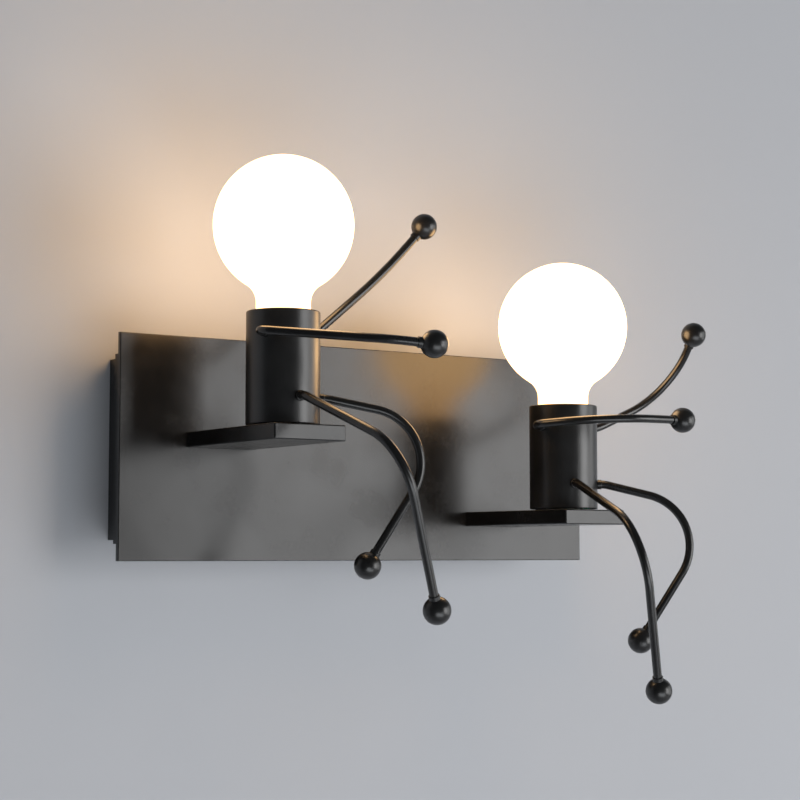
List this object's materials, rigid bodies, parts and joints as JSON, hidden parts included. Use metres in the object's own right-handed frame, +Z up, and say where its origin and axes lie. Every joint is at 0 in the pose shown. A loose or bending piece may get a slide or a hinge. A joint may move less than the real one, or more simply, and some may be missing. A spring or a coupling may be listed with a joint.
{
  "type": "wall lamp",
  "caption": "Wall lamp of seated figures on a flat backplate: each is a black tube with a globe bulb, and bent rod arms and legs that end in balls.",
  "frame": {"origin": "the point of the wall behind the middle of the backplate, on the pan's back face", "axes": "+Z up; +Y into the wall, so the lamp stands out along -Y; +X to the right, seen from the room"},
  "size_m": [0.3602, 0.2193, 0.3129],
  "materials": {
    "black_steel": "satin",
    "zinc_steel": "zinc plated",
    "opal_glass": "opal, gloss",
    "nickel": "nickel plated",
    "cap_glass": "gloss",
    "holder_plastic": "matt",
    "brass": "plain",
    "nylon": "matt",
    "block_plastic": "matt",
    "rubber": "matt",
    "wire_brown": "matt",
    "wire_blue": "matt",
    "wire_green": "matt"
  },
  "bodies": {
    "wall_part": {"bracket_nuts": "zinc_steel", "cable_grommet": "rubber", "centre_contacts": "brass", "cover_box": "black_steel", "cover_screws": "zinc_steel", "earth_screw": "zinc_steel", "earth_wire": "wire_green", "front_plate": "black_steel", "left_bracket": "black_steel", "left_end_cap": "black_steel", "left_lampholder": "holder_plastic", "left_live_wire": "wire_brown", "left_neutral_wire": "wire_blue", "left_nipple_nuts": "zinc_steel", "left_screw_shell": "brass", "nipples": "zinc_steel", "right_bracket": "black_steel", "right_end_cap": "black_steel", "right_lampholder": "holder_plastic", "right_live_wire": "wire_brown", "right_neutral_wire": "wire_blue", "right_nipple_nuts": "zinc_steel", "right_screw_shell": "brass", "slip_washers": "nylon", "spring_washers": "zinc_steel", "terminal_block": "block_plastic", "terminal_screws": "zinc_steel", "wall_pan": "black_steel"},
    "left_figure": {"left_tube": "black_steel"},
    "left_bulb_lift": {"left_bulb_tip": "cap_glass"},
    "left_bulb": {"left_globe": "opal_glass", "left_bulb_cap": "nickel"},
    "left_raised_arm": {"left_raised_arm": "black_steel", "left_raised_arm_hand": "black_steel", "left_raised_arm_clip": "zinc_steel"},
    "left_forward_arm": {"left_forward_arm": "black_steel", "left_forward_arm_hand": "black_steel", "left_forward_arm_clip": "zinc_steel"},
    "left_near_leg": {"left_near_leg": "black_steel", "left_near_leg_foot": "black_steel", "left_near_leg_clip": "zinc_steel"},
    "left_far_leg": {"left_far_leg": "black_steel", "left_far_leg_foot": "black_steel", "left_far_leg_clip": "zinc_steel"},
    "right_figure": {"right_tube": "black_steel"},
    "right_bulb_lift": {"right_bulb_tip": "cap_glass"},
    "right_bulb": {"right_globe": "opal_glass", "right_bulb_cap": "nickel"},
    "right_raised_arm": {"right_raised_arm": "black_steel", "right_raised_arm_hand": "black_steel", "right_raised_arm_clip": "zinc_steel"},
    "right_forward_arm": {"right_forward_arm": "black_steel", "right_forward_arm_hand": "black_steel", "right_forward_arm_clip": "zinc_steel"},
    "right_near_leg": {"right_near_leg": "black_steel", "right_near_leg_foot": "black_steel", "right_near_leg_clip": "zinc_steel"},
    "right_far_leg": {"right_far_leg": "black_steel", "right_far_leg_foot": "black_steel", "right_far_leg_clip": "zinc_steel"}
  },
  "joints": [
    {"name": "left_figure_swivel", "type": "hinge", "parent": "wall_part", "child": "left_figure", "pos_m": [-0.1035, -0.1115, 0.0095], "axis": [0, 0, 1], "range_deg": [-45, 30]},
    {"name": "left_raised_arm_turn", "type": "hinge", "parent": "left_figure", "child": "left_raised_arm", "pos_m": [-0.1035, -0.1115, 0.061], "axis": [0.8572, 0.515, 0], "range_deg": [-60, 90]},
    {"name": "left_forward_arm_turn", "type": "hinge", "parent": "left_figure", "child": "left_forward_arm", "pos_m": [-0.1035, -0.1115, 0.061], "axis": [-0.8572, -0.515, 0], "range_deg": [-25, 60]},
    {"name": "left_near_leg_turn", "type": "hinge", "parent": "left_figure", "child": "left_near_leg", "pos_m": [-0.1035, -0.1115, 0.0255], "axis": [-0.0698, -0.9976, 0], "range_deg": [-90, 25]},
    {"name": "left_far_leg_turn", "type": "hinge", "parent": "left_figure", "child": "left_far_leg", "pos_m": [-0.1035, -0.1115, 0.0255], "axis": [0.9135, -0.4067, 0], "range_deg": [-55, 35]},
    {"name": "left_bulb_rise", "type": "slide", "parent": "wall_part", "child": "left_bulb_lift", "axis": [0, 0, 1], "range_m": [0, 0.0182]},
    {"name": "left_bulb_screw", "type": "hinge", "parent": "left_bulb_lift", "child": "left_bulb", "pos_m": [-0.1035, -0.1115, 0.0095], "axis": [0, 0, 1], "range_deg": [0, 1800]},
    {"name": "right_figure_swivel", "type": "hinge", "parent": "wall_part", "child": "right_figure", "pos_m": [0.0985, -0.1115, -0.035], "axis": [0, 0, 1], "range_deg": [-25, 40]},
    {"name": "right_raised_arm_turn", "type": "hinge", "parent": "right_figure", "child": "right_raised_arm", "pos_m": [0.0985, -0.1115, 0.0165], "axis": [0.9659, 0.2588, 0], "range_deg": [-40, 90]},
    {"name": "right_forward_arm_turn", "type": "hinge", "parent": "right_figure", "child": "right_forward_arm", "pos_m": [0.0985, -0.1115, 0.0165], "axis": [-0.9659, -0.2588, 0], "range_deg": [-30, 40]},
    {"name": "right_near_leg_turn", "type": "hinge", "parent": "right_figure", "child": "right_near_leg", "pos_m": [0.0985, -0.1115, -0.019], "axis": [-0.342, -0.9397, 0], "range_deg": [-20, 90]},
    {"name": "right_far_leg_turn", "type": "hinge", "parent": "right_figure", "child": "right_far_leg", "pos_m": [0.0985, -0.1115, -0.019], "axis": [0.766, -0.6428, 0], "range_deg": [-50, 55]},
    {"name": "right_bulb_rise", "type": "slide", "parent": "wall_part", "child": "right_bulb_lift", "axis": [0, 0, 1], "range_m": [0, 0.0182]},
    {"name": "right_bulb_screw", "type": "hinge", "parent": "right_bulb_lift", "child": "right_bulb", "pos_m": [0.0985, -0.1115, -0.035], "axis": [0, 0, 1], "range_deg": [0, 1800]}
  ],
  "couplings": [
    {"joint": "left_bulb_rise", "follows": "left_bulb_screw", "m_per_rad": 0.00057614},
    {"joint": "right_bulb_rise", "follows": "right_bulb_screw", "m_per_rad": 0.00057614}
  ]
}
